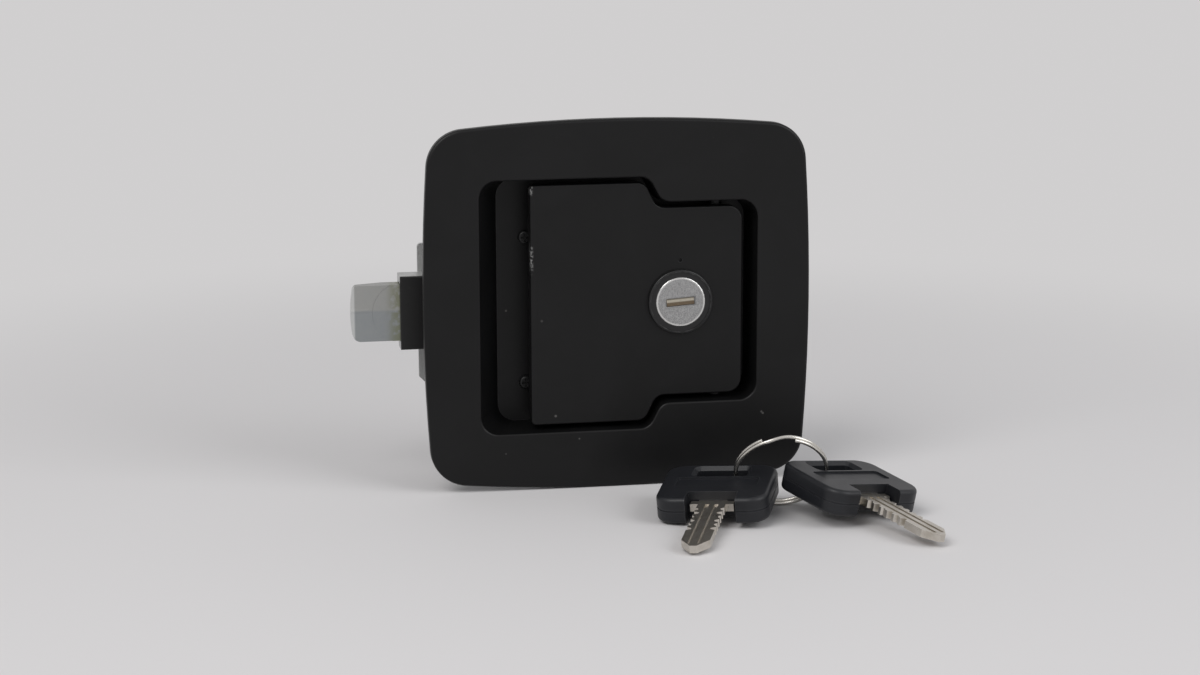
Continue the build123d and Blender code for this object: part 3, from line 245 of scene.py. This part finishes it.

# ---------------------------------------------------------------- bolt
# Sintered steel slam bolt, zinc plated over its tumbled skin. Its upper half carries painted light,
# lighter and warmer than its painted-shade lower half, and the end of its nose carries a painted
# highlight. The ridge across the nose catches the light, and grease from the guide has collected where it
# enters the snout.
bolt_low, bolt_high = (corner * 1000 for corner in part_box("bolt"))
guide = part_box("snout_cover")[0].x * 1000
BOLT_ZINC = (0.36, 0.375, 0.37)
BOLT_LIT_TOP = (0.40, 0.39, 0.37)
BOLT_SHADED_UNDERSIDE = (0.27, 0.29, 0.31)
GREASE = (0.22, 0.23, 0.13)
plated = Finish("bolt_zinc", BOLT_ZINC, Metallic=0.9, Roughness=0.35)
middle = (bolt_low.z + bolt_high.z) / 2
# Painted light and shade: the upper half of the bolt is painted lighter and warmer, and the lower half
# darker and cooler.
lit_top_share = plated.z.step(middle + 0.4, middle + 1.4)
rubs = plated.noise(0.45, 4.0, 0.65, stretch=(0.25, 1.0, 1.0))
mottle = plated.noise(0.28, 4.0, 0.6, distortion=0.7)
grease = plated.x.step(guide - 5.0, guide - 0.6) * plated.noise(0.5, 3.0).step(0.3, 0.55)
tone = plated.blend(lit_top_share, BOLT_SHADED_UNDERSIDE, BOLT_LIT_TOP)
tone = plated.blend(0.25 + mottle * 0.55, tone, BOLT_ZINC)
# Painted highlight: the end of the bolt's nose is painted a pale bright zinc.
nose_highlight = plated.x.step(bolt_low.x + 1.5, bolt_low.x + 0.9)
tone = plated.blend(nose_highlight * 0.7, tone, (0.72, 0.73, 0.72))
tone = plated.blend(grease * 0.65, tone, GREASE)
plated.set("Base Color", tone)
plated.set("Roughness", 0.26 + 0.2 * mottle + 0.12 * (rubs - 0.5) + 0.08 * grease)
ridge = (plated.z - (middle + 0.9)).size().step(0.9, 0.0) * plated.x.step(guide - 8.5, guide - 10.5)
plated.bump(rubs * 0.35 + mottle * 0.35 + ridge * 3.0, 0.05, 0.7)
plated.dress("bolt")

# ---------------------------------------------------------------- recess screws and hinge pin
# Steel pan-head screws that hold the case, and the paddle's hinge pin. Both went through the
# black coat with the pan, and turning has rubbed the screws' heads a little bare.
BLACKED = (0.006, 0.006, 0.0065)
blacked = Finish("blacked_steel", BLACKED, Roughness=0.4, Specular_IOR_Level=0.4)
skin = blacked.noise(1.1, 3.0, 0.6)
bared = blacked.edges(0.25) * blacked.noise(1.3, 2.0).step(0.5, 0.7)
blacked.set("Base Color", blacked.blend(bared * 0.5, BLACKED, (0.11, 0.11, 0.108)))
blacked.set("Roughness", 0.34 + 0.14 * skin)
blacked.bump(skin, 0.015, 0.5)
blacked.dress("case_screws", "paddle_pin")

# ---------------------------------------------------------------- rivets and pins
# Cold-headed and turned steel, bright zinc plated: the rivets of the rear cover and slide,
# the spring's rod, the rocker's pins and the cam's screw.
SCREW = (0.60, 0.61, 0.61)
bright = Finish("bright_steel", SCREW, Metallic=1.0, Roughness=0.28)
turned = bright.noise(1.4, 3.0, 0.6)
soot = bright.noise(0.6, 2.0).step(0.55, 0.8)
bright.set("Base Color", bright.blend(soot * 0.5, SCREW, (0.32, 0.31, 0.29)))
bright.set("Roughness", 0.2 + 0.2 * turned + 0.12 * soot)
bright.bump(turned, 0.012, 0.5)
bright.dress(
    "plate_rivets", "slide_rivets", "spring_rod", "rocker_pivot", "rocker_push_pin",
    "rocker_drive_pin", "cam_screw",
)

# ---------------------------------------------------------------- springs and clips
# Music wire and blued spring strip: the paddle's torsion spring, the bolt's compression
# spring and the pin's E-clips, all lightly oiled.
WIRE = (0.20, 0.20, 0.205)
wire = Finish("spring_steel", WIRE, Metallic=1.0, Roughness=0.32)
drawn = wire.noise(2.0, 3.0, 0.6)
wire.set("Base Color", wire.blend(drawn, (0.14, 0.14, 0.15), (0.27, 0.265, 0.255)))
wire.set("Roughness", 0.25 + 0.2 * drawn)
wire.bump(drawn, 0.01, 0.4)
wire.dress("paddle_spring", "bolt_spring", "pin_clips")

# ---------------------------------------------------------------- lock housing
# Turned brass body with a black chrome bezel: a raised outer lip with a shallow dish inside
# it, clamped to the paddle by the nut behind.
BEZEL_BLACK = (0.012, 0.012, 0.0125)
housing = Finish("lock_black", BEZEL_BLACK, Roughness=0.3, Specular_IOR_Level=0.5)
lathe = housing.noise(1.2, 3.0, 0.6)
lip_worn = housing.edges(0.35) * housing.noise(0.7, 3.0, 0.7).step(0.42, 0.62)
housing.set("Base Color", housing.blend(lip_worn * 0.7, BEZEL_BLACK, (0.16, 0.16, 0.16)))
housing.set("Metallic", 0.25 + 0.5 * lip_worn)
housing.set("Roughness", 0.26 + 0.14 * lathe)
housing.bump(lathe, 0.012, 0.5)
housing.dress("lock_housing")

# ---------------------------------------------------------------- plug and its cap
# Die-cast zinc barrel under a pressed stainless cap. The cap's face is finely blasted, so it
# sparkles grey, while its rolled rim stays bright.
cap_low, cap_high = (corner * 1000 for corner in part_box("plug_cap"))
lock_x = (cap_low.x + cap_high.x) / 2
lock_z = (cap_low.z + cap_high.z) / 2
cap_r = (cap_high.x - cap_low.x) / 2
CAP = (0.36, 0.36, 0.36)
CAP_BRIGHT = (0.72, 0.72, 0.71)
cap = Finish("cap_metal", CAP, Metallic=1.0, Roughness=0.4)
across = cap.x - lock_x
rise = cap.z - lock_z
radius = (across * across + rise * rise).maths("SQRT", across * across + rise * rise)
rim = radius.step(cap_r - 0.75, cap_r - 0.5)
speck = cap.noise(5.0, 4.0, 0.75)
coarse = cap.noise(1.1, 3.0, 0.6)
face = cap.blend(speck.step(0.36, 0.66), (0.17, 0.17, 0.17), (0.60, 0.60, 0.60))
face = cap.blend(coarse * 0.4, face, CAP)
cap.set("Base Color", cap.blend(rim, face, CAP_BRIGHT))
cap.set("Roughness", 0.52 - 0.3 * rim + 0.14 * (coarse - 0.5))
cap.bump(speck * (1 - rim), 0.05, 0.8)
cap.dress("plug_cap")

plug = Finish("plug_zinc", (0.34, 0.34, 0.34), Metallic=0.9, Roughness=0.45)
cast = plug.noise(1.5, 3.0, 0.65)
plug.set("Base Color", plug.blend(cast, (0.26, 0.26, 0.26), (0.42, 0.42, 0.41)))
plug.set("Roughness", 0.38 + 0.2 * cast)
plug.bump(cast, 0.02, 0.5)
plug.dress("lock_plug")

# ---------------------------------------------------------------- keyway shutter and wafers
# Sprung dust shutter of nickel-brass strip across the keyway, darker and brownish below its fold,
# and the plain brass wafers behind it.
SHUTTER_PALE = (0.50, 0.46, 0.38)
SHUTTER_BROWN = (0.16, 0.12, 0.08)
shutter = Finish("shutter_tin", SHUTTER_PALE, Metallic=0.7, Roughness=0.4)
tilt = math.tan(math.radians(4.0))
# The strip is coloured dark brown below a slightly tilted fold line and pale above it.
fold = (shutter.z - lock_z - (shutter.x - lock_x) * tilt).step(-0.15, 0.25)
rub = shutter.noise(1.6, 3.0, 0.65)
tone = shutter.blend(fold, SHUTTER_BROWN, SHUTTER_PALE)
shutter.set("Base Color", shutter.blend(rub.step(0.5, 0.8) * 0.5, tone, (0.3, 0.27, 0.2)))
shutter.set("Roughness", 0.32 + 0.25 * rub)
shutter.bump(rub, 0.02, 0.5)
shutter.dress("keyway_shutter")

brass = Finish("wafer_brass", (0.60, 0.44, 0.2), Metallic=1.0, Roughness=0.35)
stamped = brass.noise(1.8, 3.0, 0.6)
brass.set("Base Color", brass.blend(stamped, (0.66, 0.5, 0.24), (0.45, 0.32, 0.14)))
brass.set("Roughness", 0.26 + 0.2 * stamped)
brass.bump(stamped, 0.01, 0.4)
brass.dress("lock_wafers")

# ---------------------------------------------------------------- key bows
# Two moulded halves of black glass-filled nylon over the blade's tang, with a slot for the
# ring, a bare framed panel and a fine spark-eroded texture. Every edge carries a painted sheen, a painted
# highlight, and handling has polished the edges to a lower roughness.
BOW_BLACK = (0.0085, 0.0092, 0.0115)
bow = Finish("bow_plastic", BOW_BLACK, Roughness=0.4, Specular_IOR_Level=0.4)
texture = bow.noise(3.5, 3.0, 0.6)
handled = bow.noise(0.16, 3.0, 0.6)
scratch = bow.noise(0.7, 4.0, 0.7, stretch=(0.2, 1.0, 1.0)).step(0.62, 0.75)
# Painted highlight: all edges are painted a lighter grey as a sheen; the same mask lowers their
# roughness.
edge_sheen = bow.edges(0.7)
tone = bow.blend(handled, BOW_BLACK, (0.012, 0.013, 0.016))
bow.set("Base Color", bow.blend((scratch * 0.25).most(edge_sheen * 0.35), tone, (0.06, 0.062, 0.068)))
bow.set("Roughness", 0.36 + 0.14 * handled + 0.1 * scratch - 0.06 * edge_sheen)
bow.bump(texture, 0.03, 0.45)
bow.dress("key_1_bow", "key_2_bow")

# ---------------------------------------------------------------- key blades
# Milled brass blanks, nickel plated before cutting, so the plating is warm silver on the
# flats and the cuts show a burr; every edge is painted a lighter silver of the same tone, a painted
# highlight. The milling leaves fine long lines.
NICKEL = (0.62, 0.585, 0.53)
blade = Finish("blade_nickel", NICKEL, Metallic=1.0, Roughness=0.3)
lines = blade.noise(0.8, 3.0, 0.6, stretch=(2.2, 0.35, 2.2))
tarnish = blade.noise(0.25, 4.0, 0.65)
# Painted highlight: every edge, the cut burr among them, is painted a lighter silver.
burr_and_edge_highlight = blade.edges(0.3)
tone = blade.blend(tarnish.step(0.4, 0.8), NICKEL, (0.46, 0.42, 0.36))
blade.set("Base Color", blade.blend(burr_and_edge_highlight * 0.5, tone, (0.78, 0.74, 0.66)))
blade.set("Roughness", 0.24 + 0.16 * tarnish + 0.14 * (lines - 0.5))
blade.bump(lines, 0.02, 0.6)
blade.dress("key_1_blade", "key_2_blade")

# ---------------------------------------------------------------- split ring
# Spring-steel wire wound twice round, nickel plated and tumbled; its cut ends lie close
# beside the jog between the turns.
NICKEL_WIRE = (0.66, 0.64, 0.60)
ring = Finish("ring_nickel", NICKEL_WIRE, Metallic=1.0, Roughness=0.2)
tumble = ring.noise(1.6, 3.0, 0.6)
ring.set("Base Color", ring.blend(tumble.step(0.45, 0.8) * 0.6, NICKEL_WIRE, (0.42, 0.40, 0.36)))
ring.set("Roughness", 0.14 + 0.16 * tumble)
ring.bump(tumble, 0.01, 0.4)
ring.dress("split_ring")

# ---------------------------------------------------------------- floor
# One wide sheet of pale grey paper. It is lit where the latch and keys stand on it, and
# further out it passes into the even pale room, so no wall or edge shows from any side.
FLOOR_R = 3.0
FLOOR_SIDES = 96
LIT_R = 170.0
FADE_R = 450.0
PAPER = (0.80, 0.785, 0.79)
ROOM = (0.634, 0.624, 0.627)
ground = cad_box[0][2]
turns = [math.tau * side / FLOOR_SIDES for side in range(FLOOR_SIDES)]
corners = [(FLOOR_R * math.cos(turn), FLOOR_R * math.sin(turn), ground) for turn in turns]
mesh = bpy.data.meshes.new("paper")
mesh.from_pydata(corners, [], [range(FLOOR_SIDES)])
paper = bpy.data.objects.new("paper", mesh)
bpy.context.scene.collection.objects.link(paper)


def looked_at(finish):
    """1 for rays from the camera or off a glossy surface, and 0 for the rest."""
    camera_ray, glossy_ray, clear_ray = (
        finish.node("ShaderNodeLightPath", {}, {}, f"Is {kind} Ray")
        for kind in ("Camera", "Glossy", "Transmission")
    )
    return camera_ray.most(glossy_ray).most(clear_ray)


sweep = Finish("paper_grey", PAPER, Roughness=0.75, Specular_IOR_Level=0.2)
fibre = sweep.noise(0.8, 3.0, 0.6)
sweep.set("Roughness", 0.7 + 0.1 * fibre)
sweep.bump(fibre, 0.01, 0.2)
out = sweep.x * sweep.x + sweep.y * sweep.y
far = out.maths("SQRT", out).step(LIT_R, FADE_R) * looked_at(sweep)
glow = sweep.node("ShaderNodeEmission", {}, {"Color": ROOM, "Strength": 1.0})
lit = Channel(sweep, sweep.shader.outputs[0])
mixed = sweep.node("ShaderNodeMixShader", {}, {0: far, 1: lit, 2: glow})
sweep.feed(sweep.tree.nodes["Material Output"].inputs["Surface"], mixed)
mesh.materials.append(sweep.material)

# ---------------------------------------------------------------- light and camera
# A broad soft window high at the left, a weaker one at the right, and an even room around.


def softbox(name, place, aim, width, height, watts, colour):
    lamp = bpy.data.lights.new(name, "AREA")
    lamp.shape = "RECTANGLE"
    lamp.size, lamp.size_y = width, height
    lamp.energy, lamp.color = watts, colour
    made = bpy.data.objects.new(name, lamp)
    bpy.context.scene.collection.objects.link(made)
    look = (Vector(aim) - Vector(place)).to_track_quat("-Z", "Y")
    made.matrix_world = Matrix.Translation(place) @ look.to_matrix().to_4x4()


softbox("window_left", (-0.75, -0.75, 1.05), (0, 0, 0), 0.9, 0.9, 9.5, (1.0, 0.99, 0.98))
softbox("window_right", (0.95, -0.85, 0.75), (0, 0, 0), 0.9, 0.9, 7.0, (0.98, 0.99, 1.0))


class Room(Finish):
    """The world around the latch, with the same ways to add nodes as a finish."""

    def __init__(self, name):
        self.world = bpy.data.worlds.new(name)
        self.world.use_nodes = True
        self.tree = self.world.node_tree
        self.shader = self.tree.nodes["Background"]


ROOM_LIGHT = (0.353, 0.355, 0.36)
room = Room("room")
room.set("Color", room.blend(looked_at(room), ROOM_LIGHT, ROOM))
bpy.context.scene.world = room.world

eye = Vector((-0.14603, -0.77417, 0.15033))
turn, drop, lean = math.radians(10.29), math.radians(11.56), math.radians(-0.17)
ahead = Vector((math.sin(turn) * math.cos(drop), math.cos(turn) * math.cos(drop), -math.sin(drop)))
camera = bpy.data.cameras.new("camera")
camera.lens = 77.79
camera.sensor_width = 36.0
camera.clip_start = 0.01
view = bpy.data.objects.new("camera", camera)
bpy.context.scene.collection.objects.link(view)
aim = ahead.to_track_quat("-Z", "Y").to_matrix().to_4x4()
view.matrix_world = Matrix.Translation(eye) @ aim @ Matrix.Rotation(lean, 4, "Z")
bpy.context.scene.camera = view
bpy.context.scene.view_settings.view_transform = "Standard"
